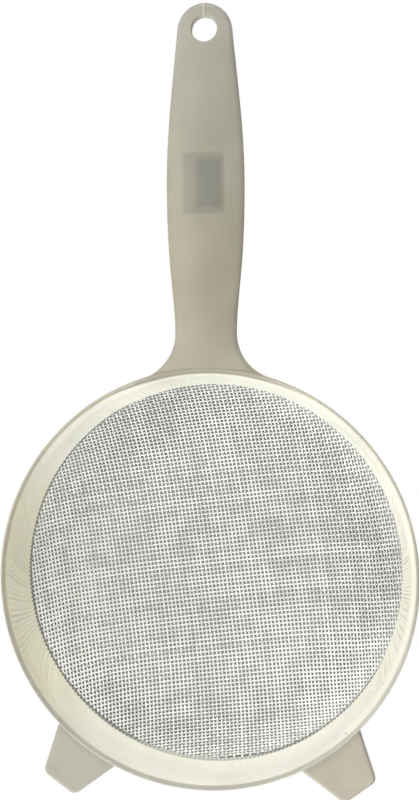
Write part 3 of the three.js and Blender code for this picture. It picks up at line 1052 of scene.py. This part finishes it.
@dataclass
class WireCloth:
    """The woven bowl: warp and weft wires that go over and under each other."""

    place: Place
    bowl: BowlSection
    diameter: float = 0.74
    pitch: dict[WireRun, float] = field(
        default_factory=lambda: {WireRun.WARP: 1.63, WireRun.WEFT: 1.735})
    turn: float = math.radians(7.8)
    skew: float = math.radians(-1.1)
    hold: float = 2.4
    edge_gap: float = 0.6
    end_gap: float = 0.2
    trial_margin: float = 1.1
    trial_steps: int = 400
    sides: int = 6
    spare_wires: int = 4
    spacing_error: float = 0.035
    closing: float = 0.008
    closing_from: float = 53.0
    drift: float = 0.16
    wave_count: int = 5
    wave_rates: Span = (0.06, 0.2)
    still_edge: float = 12.0
    tone_spread: float = 0.06
    lift: float = 0.23
    # Painted light of the wires growing towards some sides of the bowl, and painted shade towards others.
    side_painted_light: tuple[SideTone, ...] = (SideTone(20, -5, 40, 0.2), SideTone(182, 42, 62, 0.2))
    side_painted_shade: tuple[SideTone, ...] = (
        SideTone(40, 0, 55, 0.22), SideTone(270, 40, 65, 0.08), SideTone(132, 40, 65, 0.1))

    def __post_init__(self) -> None:
        """Draws the small irregularities of the weave."""
        draw = np.random.default_rng(SEED)
        self._waves = [(draw.uniform(*self.wave_rates, 2), draw.uniform(0, 2 * math.pi, 2),
                        draw.normal(0, self.drift / 2, 2)) for _ in range(self.wave_count)]
        self._arcs: dict[WireRun, Array] = {}
        self._tones: dict[WireRun, Array] = {}
        for run in WireRun:
            count = int(2 * self.bowl.mouth_arc / self.pitch[run]) + self.spare_wires
            arcs = (np.arange(count) - (count - 1) / 2) * self.pitch[run]
            arcs = arcs + draw.normal(0, self.spacing_error, count)
            if run is WireRun.WEFT:
                arcs += self.closing * np.maximum(-arcs - self.closing_from, 0.0) ** 2 / 2
            self._arcs[run] = arcs[np.abs(arcs) < self.bowl.mouth_arc - self.edge_gap]
            self._tones[run] = 1 + draw.normal(0, self.tone_spread, len(self._arcs[run]))
        self._net = DrapedNet(self.bowl)

    @property
    def bottom(self) -> float:
        """Height of the middle of the cloth at the bottom of the bowl."""
        return -self.bowl.collar.depth - self.bowl.depth + self.lift

    def _path(self, run: WireRun, number: int) -> tuple[Array, Array, Array]:
        """The middle line of one wire.

        Args:
            run: Family of wires.
            number: Number of the wire in its family.

        Returns:
            Points, normals of the cloth there, and the height of the weave from -1 to 1.
        """
        other = WireRun.WEFT if run is WireRun.WARP else WireRun.WARP
        crossed = self._arcs[other]
        own = self._arcs[run][number]

        def plan_of(places: Array) -> Array:
            """Places in plan of points along this wire."""
            level = np.full_like(places, own)
            return self._net.plan_at(*((level, places) if run is WireRun.WARP else (places, level)))

        end = self.bowl.mouth_radius + self.hold * self.bowl.collar.slope
        trial = np.linspace(0.0, self.trial_margin * self.bowl.mouth_arc, self.trial_steps)
        reach = np.interp(end, np.hypot(*plan_of(trial).T), trial)
        numbers = np.arange(len(crossed))
        steps = np.interp(np.arange(2 * len(crossed) - 1) / 2, numbers, crossed)
        places = np.concatenate([[-reach], steps[np.abs(steps) < reach - self.end_gap], [reach]])
        beyond = places - np.clip(places, crossed[0], crossed[-1])
        phase = np.interp(places, crossed, numbers) + beyond / self.pitch[other]
        first_up = (number % 2 == 0) == (run is WireRun.WARP)
        weave = np.cos(math.pi * phase) * (1 if first_up else -1)
        plan = plan_of(places)
        radius = np.hypot(plan[:, 0], plan[:, 1])
        lean, height, _ = self.bowl.at(radius)
        inward = -np.sin(lean) / np.maximum(radius, TINY)
        normal = np.stack([inward * plan[:, 0], inward * plan[:, 1], np.cos(lean)], axis=1)
        middle = np.column_stack([self._drifted(plan, radius), self.bottom + height])
        return middle + normal * (weave * self.diameter / 2)[:, None], normal, weave

    def _drifted(self, plan: Array, radius: Array) -> Array:
        """Moves points of the cloth by its slow waves and its skew.

        Args:
            plan: Array of (x, y) rows in the cloth's own axes.
            radius: Distances from the axis.

        Returns:
            The moved points.
        """
        free = np.clip((self.bowl.mouth_radius - radius) / self.still_edge, 0.0, 1.0)[:, None]
        moved = plan.copy()
        for rate, start, size in self._waves:
            angle = plan * rate + start
            moved += free * size * np.sin(angle[:, ::-1]) * np.cos(angle)
        moved[:, 1] += free[:, 0] * math.tan(self.skew) * plan[:, 0]
        return moved

    def build(self, finish: Material) -> list[Piece]:
        """Makes the wires, as two halves of each family.

        Args:
            finish: Material of the wires.

        Returns:
            The pieces.
        """
        pieces = []
        for run in WireRun:
            nodes = sorted(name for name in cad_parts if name.startswith(f"{run.value}_wire"))
            for side in ClothSide:
                piece = self._half(run, side)
                piece.data.materials.append(finish)
                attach(piece, BODY)
                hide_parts(*nodes)
                pieces.append(piece)
        return pieces

    def _half(self, run: WireRun, side: ClothSide) -> Piece:
        """Makes the wires of one family on one side of the bowl.

        Args:
            run: Family of wires.
            side: Which side.

        Returns:
            The piece.
        """
        rings, faces, heights, tones = [], [], [], []
        count = 0
        for number, arc in enumerate(self._arcs[run]):
            if (arc >= 0) != (side is ClothSide.HIGH):
                continue
            ring, height = self._tube(run, number)
            faces += capped_faces(len(ring) // self.sides, self.sides, count)
            rings.append(ring)
            # The weave height with the painted light added, and each wire's random tone with the painted
            # shade taken off.
            heights.append(height + sum(tone.at(ring) for tone in self.side_painted_light))
            tones.append(self._tones[run][number] * (1.0 - sum(tone.at(ring) for tone in self.side_painted_shade)))
            count += len(ring)
        points = self.place.to_frame(np.concatenate(rings))
        piece = mesh_object(f"{run.value}_wires_{side.name.lower()}", points, faces)
        store(piece.data, "weave_height_and_light", np.concatenate(heights))
        store(piece.data, "wire_tone_and_side_shade", np.concatenate(tones))
        piece.data.shade_smooth()
        return piece

    def _tube(self, run: WireRun, number: int) -> tuple[Array, Array]:
        """The skin of one wire.

        Args:
            run: Family of wires.
            number: Number of the wire in its family.

        Returns:
            Points ring by ring, and the height of each from -1 to 1.
        """
        path, normal, weave = self._path(run, number)
        along = np.gradient(path, axis=0)
        along /= np.linalg.norm(along, axis=1)[:, None]
        sideways = np.cross(along, normal)
        sideways /= np.linalg.norm(sideways, axis=1)[:, None]
        up = np.cross(sideways, along)
        angles = np.arange(self.sides)[None, :, None] * 2 * math.pi / self.sides
        spokes = up[:, None, :] * np.cos(angles) + sideways[:, None, :] * np.sin(angles)
        ring = (path[:, None, :] + self.diameter / 2 * spokes).reshape(-1, 3)
        height = ((weave[:, None] + np.cos(angles)[:, :, 0]) / 2).ravel()
        c, s = math.cos(self.turn), math.sin(self.turn)
        return ring @ np.array([[c, s, 0.0], [-s, c, 0.0], [0.0, 0.0, 1.0]]), height


@dataclass
class MouldedFrame:
    """The one-piece moulding: collar with lip, handle with hanging hole, and two rest tabs."""

    place: Place
    collar: CollarSection
    ring_segments: int = 360
    bore_share: float = 0.7
    handle_reach: float = 219.1
    belly_reach: float = 150.0
    belly_width: float = 30.0
    neck_width: float = 23.7
    root_fillet: float = 18.0
    tip_radius: float = 10.6
    tip_taper: float = math.radians(5.6)
    tip_end: float = math.radians(88.0)
    handle_drop: float = 0.8
    handle_round: float = 2.0
    crown_radius: float = 55.0
    rise_end: float = 92.0
    rise_share: float = 0.85
    hole_radius: float = 4.9
    hole_reach: float = 209.0
    hole_round: float = 0.9
    hole_overlap: float = 1.0
    hole_segments: int = 96
    hole_steps: int = 7
    tab_angle: float = math.radians(36.0)
    tab_reach: float = 98.4
    tab_root_width: float = 27.7
    tab_tip_width: float = 14.9
    tab_corner: float = 3.0
    tab_drop: float = 1.6
    tab_round: float = 1.2
    tab_steps: int = 14
    corner_steps: int = 9
    rest_drop: float = 5.5
    neck_pull: float = 0.24
    belly_pull_down: float = 0.56
    belly_pull_up: float = 0.33
    tip_pull: float = 0.39
    curve_steps: int = 26
    edge_lines: int = 9
    inner_lines: int = 9
    smooth_angle: float = math.radians(32.0)

    def build(self, finish: Material) -> Piece:
        """Makes the moulding.

        Args:
            finish: Material of the moulding.

        Returns:
            The piece.
        """
        section = self.collar.outline()
        points = self._lathe(section, self.ring_segments).reshape(-1, 3)
        faces = grid_faces(self.ring_segments, len(section), True, True).tolist()
        piece = mesh_object("moulding", self.place.to_frame(points), faces, True)
        handle = self._handle()
        carve(handle, self._hole_cutter(), Carve.CUT)
        for arm in (handle, self._tab(math.pi - self.tab_angle), self._tab(math.pi + self.tab_angle)):
            carve(arm, self._bore(), Carve.CUT)
            carve(piece, arm, Carve.JOIN)
        piece.data.shade_smooth()
        piece.data.set_sharp_from_angle(angle=self.smooth_angle)
        piece.data.materials.clear()
        piece.data.materials.append(finish)
        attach(piece, BODY)
        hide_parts(FRAME_NODE)
        return piece

    @staticmethod
    def _lathe(section: Section, segments: int) -> Array:
        """Turns a section round the upright axis.

        Args:
            section: (radius, height) points.
            segments: Number of steps round.

        Returns:
            Points by step and by place in the section.
        """
        radius, height = np.array(section).T
        angles = np.linspace(0, 2 * math.pi, segments, endpoint=False)[:, None]
        x, y = radius * np.cos(angles), radius * np.sin(angles)
        return np.stack(np.broadcast_arrays(x, y, height), axis=2)

    def _plug(self, name: str, section: Section, segments: int, middle: float) -> Piece:
        """Turns an open section into a capped solid.

        Args:
            name: Name of the new object.
            section: (radius, height) points from the bottom to the top.
            segments: Number of steps round.
            middle: Place of the solid's axis along the handle.

        Returns:
            The solid.
        """
        points = self._lathe(section, segments).swapaxes(0, 1).reshape(-1, 3) + [0.0, middle, 0.0]
        return mesh_object(name, self.place.to_frame(points), capped_faces(len(section), segments), True)

    def _bore(self) -> Piece:
        """The space inside the collar that the arms must not enter.

        Returns:
            The solid to cut away.
        """
        radius = self.collar.rim_radius - self.collar.crest_width * self.bore_share
        ends: Section = [(radius, -self.collar.depth), (radius, self.collar.depth)]
        return self._plug("bore", ends, self.ring_segments, 0.0)

    def _hole_cutter(self) -> Piece:
        """The hanging hole, with rounded edges at the top and the underside of the handle.

        Returns:
            The solid to cut away.
        """
        top, bottom = -self.handle_drop, -self.rest_drop
        quarter = np.linspace(0, math.pi / 2, self.hole_steps)
        radii = self.hole_radius + self.hole_round * (1 - np.sin(quarter))
        rise = self.hole_round * (1 - np.cos(quarter))
        widest = self.hole_radius + 2 * self.hole_round
        section: Section = [(widest, bottom - self.hole_overlap), *zip(radii, bottom + rise),
                            *zip(radii[::-1], top - rise[::-1]), (widest, top + self.hole_overlap)]
        return self._plug("hole", section, self.hole_segments, self.hole_reach)

    def _handle(self) -> Piece:
        """The handle: flare at the rim, neck, belly and round tip.

        Returns:
            The handle.
        """
        rim = self.collar.rim_radius
        neck, belly = self.neck_width / 2, self.belly_width / 2
        flare_x = neck + self.root_fillet
        flare_y = math.sqrt((rim + self.root_fillet) ** 2 - flare_x ** 2)
        tip_middle = self.handle_reach - self.tip_radius
        tip_x = self.tip_radius * math.cos(self.tip_taper)
        tip_y = tip_middle + self.tip_radius * math.sin(self.tip_taper)
        lower, upper = self.belly_reach - flare_y, tip_y - self.belly_reach
        pull = self.tip_pull * upper
        flare = np.linspace(math.atan2(-flare_y, -flare_x), -math.pi, self.curve_steps)
        tip = np.linspace(self.tip_taper, self.tip_end, self.curve_steps)
        side = np.concatenate([
            self._arc(flare_x, flare_y, self.root_fillet, flare),
            self._curve((neck, flare_y), (neck, flare_y + self.neck_pull * lower),
                        (belly, self.belly_reach - self.belly_pull_down * lower), (belly, self.belly_reach)),
            self._curve((belly, self.belly_reach), (belly, self.belly_reach + self.belly_pull_up * upper),
                        (tip_x + pull * math.sin(self.tip_taper), tip_y - pull * math.cos(self.tip_taper)),
                        (tip_x, tip_y)),
            self._arc(0.0, tip_middle, self.tip_radius, tip)[1:],
        ])
        root = side[:1] - np.array([[0.0, 2 * self.collar.lip_width]])

        def top_at(x: Array, y: Array) -> Array:
            """Height of the crowned top at a place across and along the handle.

            Args:
                x: Distances from the middle line.
                y: Distances along the handle.

            Returns:
                The heights, which rise to the lip at the root.
            """
            near = np.clip((self.rise_end - y) / (self.rise_end - rim), 0.0, 1.0)
            rise = near ** 2 * (3 - 2 * near)
            return (-self.handle_drop - x ** 2 / (2 * self.crown_radius)) * (1 - self.rise_share * rise)

        return self._pillow("handle", np.concatenate([root, side]), self.handle_round, top_at)

    def _tab(self, turn: float) -> Piece:
        """One rest tab: straight tapering sides and a square tip with round corners.

        Args:
            turn: Angle from the handle.

        Returns:
            The tab.
        """
        root, tip = self.tab_root_width / 2, self.tab_tip_width / 2
        root_reach = math.sqrt(self.collar.rim_radius ** 2 - root ** 2)
        taper = math.atan2(root - tip, self.tab_reach - root_reach)
        corner_x = tip - self.tab_corner * math.tan((math.pi / 2 - taper) / 2)
        corner = self._arc(corner_x, self.tab_reach - self.tab_corner, self.tab_corner,
                           np.linspace(taper, math.pi / 2, self.corner_steps))
        start = np.array([[root, root_reach - 2 * self.collar.lip_width]])
        straight = np.linspace((root, root_reach), corner[0], self.tab_steps)[:-1]
        piece = self._pillow("tab", np.concatenate([start, straight, corner]), self.tab_round,
                             lambda x, y: np.full_like(x, -self.tab_drop))
        axis = Matrix.Translation(self.place.origin())
        piece.data.transform(axis @ Matrix.Rotation(turn, 4, "Z") @ axis.inverted())
        return piece

    @staticmethod
    def _arc(x: float, y: float, radius: float, angles: Array) -> Array:
        """Points at some angles on a circle round a middle, as (half width, reach) rows."""
        return np.stack([x + radius * np.cos(angles), y + radius * np.sin(angles)], 1)

    def _curve(self, *controls: tuple[float, float]) -> Array:
        """Points along a cubic curve, without its first one.

        Args:
            *controls: The four control points.

        Returns:
            Array of (half width, reach) rows.
        """
        s = np.linspace(0, 1, self.curve_steps + 1)[1:, None]
        a, b, c, d = (np.array(point) for point in controls)
        return (1 - s) ** 3 * a + 3 * s * (1 - s) ** 2 * b + 3 * s ** 2 * (1 - s) * c + s ** 3 * d

    def _pillow(self, name: str, side: Array, rounding: float,
                top_at: Callable[[Array, Array], Array]) -> Piece:
        """A flat arm along the handle's direction with a rounded edge.

        Args:
            name: Name of the new object.
            side: (half width, reach) rows from the root to the tip.
            rounding: Width of the rounded edge.
            top_at: Height of the top at a distance from the middle and a reach.

        Returns:
            The arm.
        """
        bottom = -self.rest_drop
        edge_shares = 1 - np.cos(np.linspace(0, math.pi / 2, self.edge_lines))
        half = side[:, :1]
        edge = np.minimum(rounding, half / 2)
        inner = (half - edge) * np.linspace(1, 0, self.inner_lines + 1)[None, 1:-1]
        right = np.concatenate([half - edge * edge_shares[None, :], inner], axis=1)
        x = np.concatenate([right, np.zeros_like(half), -right[:, ::-1]], axis=1)
        y = np.repeat(side[:, 1:], x.shape[1], axis=1)
        outline = np.concatenate([side, [[0.0, side[-1, 1]]]])
        inset = self._distance(np.stack([np.abs(x), y], axis=2).reshape(-1, 2), outline).reshape(x.shape)
        fullness = np.sqrt(np.clip(1 - (1 - np.minimum(inset / rounding, 1)) ** 2, 0, 1))
        parting = (top_at(half, side[:, 1:]) + bottom) / 2
        top = parting + fullness * (top_at(x, y) - parting)
        low = parting + fullness * (bottom - parting)
        points = np.concatenate([np.stack([x, y, z], 2).reshape(-1, 3) for z in (top, low)])
        rows, columns = x.shape
        sheet = grid_faces(rows, columns)
        count = rows * columns
        faces = sheet.tolist() + (sheet[:, ::-1] + count).tolist()
        faces += [[a, a + 1, count + a + 1, count + a] for a in range(columns - 1)]
        return mesh_object(name, self.place.to_frame(points), faces, True)

    @staticmethod
    def _distance(points: Array, outline: Array) -> Array:
        """Shortest distance from points of the plan to an outline.

        Args:
            points: Array of (x, y) rows.
            outline: Array of (x, y) rows along the outline.

        Returns:
            One distance for each point.
        """
        best = np.full(len(points), np.inf)
        for start, step in zip(outline[:-1], np.diff(outline, axis=0)):
            share = np.clip(((points - start) @ step) / max(step @ step, TINY ** 2), 0, 1)
            best = np.minimum(best, np.linalg.norm(points - start - share[:, None] * step, axis=1))
        return best


@dataclass
class BackPlate:
    """A bare plate on the underside of the handle, with rounded corners and a softened edge."""

    place: Place
    width: float = 16.1
    length: float = 24.6
    middle_x: float = -0.65
    middle_y: float = 150.3
    thickness: float = 0.35
    sunk: float = 0.1
    corner: float = 2.0
    corner_steps: int = 9
    bevel: float = 0.12
    rest_drop: float = 5.5

    def build(self, finish: Material) -> Piece:
        """Makes the plate.

        Args:
            finish: Material of the plate.

        Returns:
            The piece.
        """
        size = np.array([self.width, self.length])
        outline = []
        for quarter, signs in enumerate(((1, 1), (-1, 1), (-1, -1), (1, -1))):
            angles = (quarter + np.linspace(0, 1, self.corner_steps)) * math.pi / 2
            turn = np.stack([np.cos(angles), np.sin(angles)], 1)
            outline.append(signs * (size / 2 - self.corner) + self.corner * turn)
        rim = np.concatenate(outline)
        top = -self.rest_drop + self.sunk
        low = top - self.thickness
        levels = [(rim, top), (rim, low + self.bevel), (rim * (1 - 2 * self.bevel / size), low)]
        rows = [np.column_stack([ring + [self.middle_x, self.middle_y], np.full(len(rim), z)])
                for ring, z in levels]
        piece = mesh_object("back_plate", self.place.to_frame(np.concatenate(rows)),
                            capped_faces(len(rows), len(rim)), True)
        piece.data.materials.append(finish)
        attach(piece, BODY)
        return piece


@dataclass(frozen=True)
class Softbox:
    """One broad lamp that faces the part. Its angles are in degrees, its distance and size in metres."""

    name: str
    heading: float
    lean: float
    share: float
    distance: float = 2.0
    size: float = 1.0

    def build(self, target: Vector) -> None:
        """Makes the lamp, which gives its share of the light on a level white face.

        Args:
            target: The point that the lamp faces.
        """
        heading, lean = math.radians(self.heading), math.radians(self.lean)
        lamp = bpy.data.lights.new(self.name, "AREA")
        lamp.shape = "DISK"
        lamp.size = self.size
        lamp.energy = self.share * (math.pi * self.distance) ** 2 / math.cos(lean)
        holder = bpy.data.objects.new(self.name, lamp)
        level = math.sin(lean)
        away = Vector((level * math.cos(heading), level * math.sin(heading), math.cos(lean)))
        holder.location = target + away * self.distance
        holder.rotation_euler = away.to_track_quat("Z", "Y").to_euler()
        bpy.context.scene.collection.objects.link(holder)


@dataclass
class Studio:
    """Pale floor, soft light and the camera above the open side of the bowl.

    The floor, its contact shadow and the camera's place are in metres.
    """

    place: Place
    floor_half: float = 4.0
    floor_colour: Colour = (0.82, 0.82, 0.82)
    floor_roughness: float = 0.9
    contact_reach: float = 0.12
    contact_samples: int = 12
    contact_span: Span = (0.93, 1.0)
    ambient: float = 0.06
    mirrored: float = 0.65
    aim_y: float = -40.0
    softboxes: tuple[Softbox, ...] = (
        Softbox("high_left", 180.0, 35.0, 0.218),
        Softbox("high_front", 240.0, 35.0, 0.104),
        Softbox("right", 0.0, 62.0, 0.04),
        Softbox("right_back", 45.0, 62.0, 0.036),
        Softbox("back", 90.0, 62.0, 0.2),
        Softbox("left_back", 135.0, 62.0, 0.03),
        Softbox("left_front", 225.0, 62.0, 0.171),
        Softbox("front", 270.0, 62.0, 0.21),
    )
    shade_middle: Span = (-6.0, -6.0)
    shade_radii: Span = (77.0, 89.0)
    shade_rise: Span = (76.0, 44.0)
    shade_colour: Colour = (0.12, 0.12, 0.113)
    shade_core: Colour = (0.27, 0.27, 0.257)
    sight: Triple = (0.062992, 0.066067, 0.493082)
    sight_turn: Triple = (7.088, -0.202, 0.247)
    lens: float = 59.115
    sensor: float = 36.0

    def build(self) -> None:
        """Sets up the floor, the light and the camera."""
        bpy.context.scene.view_settings.view_transform = "Standard"
        self._floor()
        self._world()
        for softbox in self.softboxes:
            softbox.build(Vector((0.0, self.aim_y * MM, self.place.lip_top * MM)))
        self._camera()

    @staticmethod
    def _seen(sheet: NodeSheet, mirrored: float = 0.0) -> Socket:
        """Share of the white that is shown to what looks at the surroundings.

        Args:
            sheet: Nodes of the surroundings.
            mirrored: Share that is shown to reflections.

        Returns:
            1 for what the camera sees directly or through something clear, else the share for reflections.
        """
        path = sheet.add("ShaderNodeLightPath")
        direct = sheet.math("MAXIMUM", path.outputs["Is Camera Ray"], path.outputs["Is Transmission Ray"])
        return sheet.math("MAXIMUM", direct, sheet.times(path.outputs["Is Glossy Ray"], mirrored))

    def _floor(self) -> None:
        """A white floor with a painted soft shadow under the bowl that fades where the floor sees open sky,
        and clear from below.
        """
        corners = np.array([(-1, -1, 0), (1, -1, 0), (1, 1, 0), (-1, 1, 0)]) * self.floor_half
        floor = mesh_object("floor", corners, [[0, 1, 2, 3]])
        material, sheet, shader = new_material("studio_floor")
        surface = shader.outputs[0].links[0].to_socket
        sheet.fill(shader, {"Base Color": (*self.floor_colour, 1.0), "Roughness": self.floor_roughness})
        nearby = sheet.add("ShaderNodeAmbientOcclusion", samples=self.contact_samples)
        sheet.fill(nearby, {"Distance": self.contact_reach})
        open_sky = sheet.ease(nearby.outputs["AO"], *self.contact_span)
        where = sheet.add("ShaderNodeTexCoord").outputs["Object"]
        middle = self.place.to_frame(np.array([*self.shade_middle, 0.0])) * (1.0, 1.0, 0.0)
        reach = sheet.vector("DISTANCE", where, tuple(float(v) for v in middle)).outputs["Value"]
        # Painted shadow: a dark disc under the bowl, lighter in its middle, white outside it.
        outside, core = (sheet.ease(reach, start * MM, end * MM)
                         for start, end in (self.shade_radii, self.shade_rise))
        shade = sheet.mix(core, self.shade_colour, self.shade_core)
        shade = sheet.mix(sheet.math("MAXIMUM", open_sky, outside), shade, WHITE)
        glow = sheet.add("ShaderNodeEmission", shade)
        both = sheet.either(self._seen(sheet), shader.outputs[0], glow.outputs[0])
        below = sheet.add("ShaderNodeNewGeometry").outputs["Backfacing"]
        clear = sheet.add("ShaderNodeBsdfTransparent").outputs[0]
        sheet.feed(sheet.either(below, both, clear), surface)
        floor.data.materials.append(material)

    def _world(self) -> None:
        """Even light from all round, white where it is seen."""
        world = bpy.data.worlds.new("studio")
        world.use_nodes = True
        world.node_tree.nodes.clear()
        sheet = NodeSheet(world.node_tree)
        shades = [sheet.add("ShaderNodeBackground", (*WHITE, 1.0), strength).outputs[0]
                  for strength in (self.ambient, 1.0)]
        sheet.add("ShaderNodeOutputWorld", sheet.either(self._seen(sheet, self.mirrored), *shades))
        bpy.context.scene.world = world

    def _camera(self) -> None:
        """The camera, looking down into the bowl from the handle's side and a little from the right."""
        lens = bpy.data.cameras.new("camera")
        lens.lens = self.lens
        lens.sensor_width = self.sensor
        camera = bpy.data.objects.new("camera", lens)
        roll, pitch, spin = (math.radians(angle) for angle in self.sight_turn)
        turn = (Matrix.Rotation(spin, 3, "Z") @ Matrix.Rotation(pitch, 3, "X")
                @ Matrix.Rotation(-roll, 3, "Y")).transposed()
        spot = self.place.origin() + Vector(self.sight)
        camera.matrix_world = Matrix.Translation(spot) @ turn.to_4x4()
        bpy.context.scene.collection.objects.link(camera)
        bpy.context.scene.camera = camera


def stand() -> Place:
    """Finds where the bowl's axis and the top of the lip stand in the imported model.

    Returns:
        The place of the part.
    """
    _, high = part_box(FRAME_NODE)
    tip_middle, tip_radius, tip_end = 208.5, 10.7, math.radians(82.0)
    reach = tip_middle + tip_radius * math.sin(tip_end)
    return Place(axis_y=high.y / MM - reach, lip_top=high.z / MM)


def main() -> None:
    """Builds the strainer piece by piece and sets up the studio round it."""
    logging.basicConfig(level=logging.INFO, format="%(name)s: %(message)s")
    place = stand()
    collar = CollarSection()
    pieces = WireCloth(place, BowlSection(collar)).build(DrawnWire().build())
    pieces.append(MouldedFrame(place, collar).build(MouldedPlastic(place, collar).build()))
    pieces.append(BackPlate(place).build(BarePlate().build()))
    for piece in pieces:
        log.info("%s: %d faces", piece.name, len(piece.data.polygons))
    Studio(place).build()


if __name__ == "__main__":
    main()
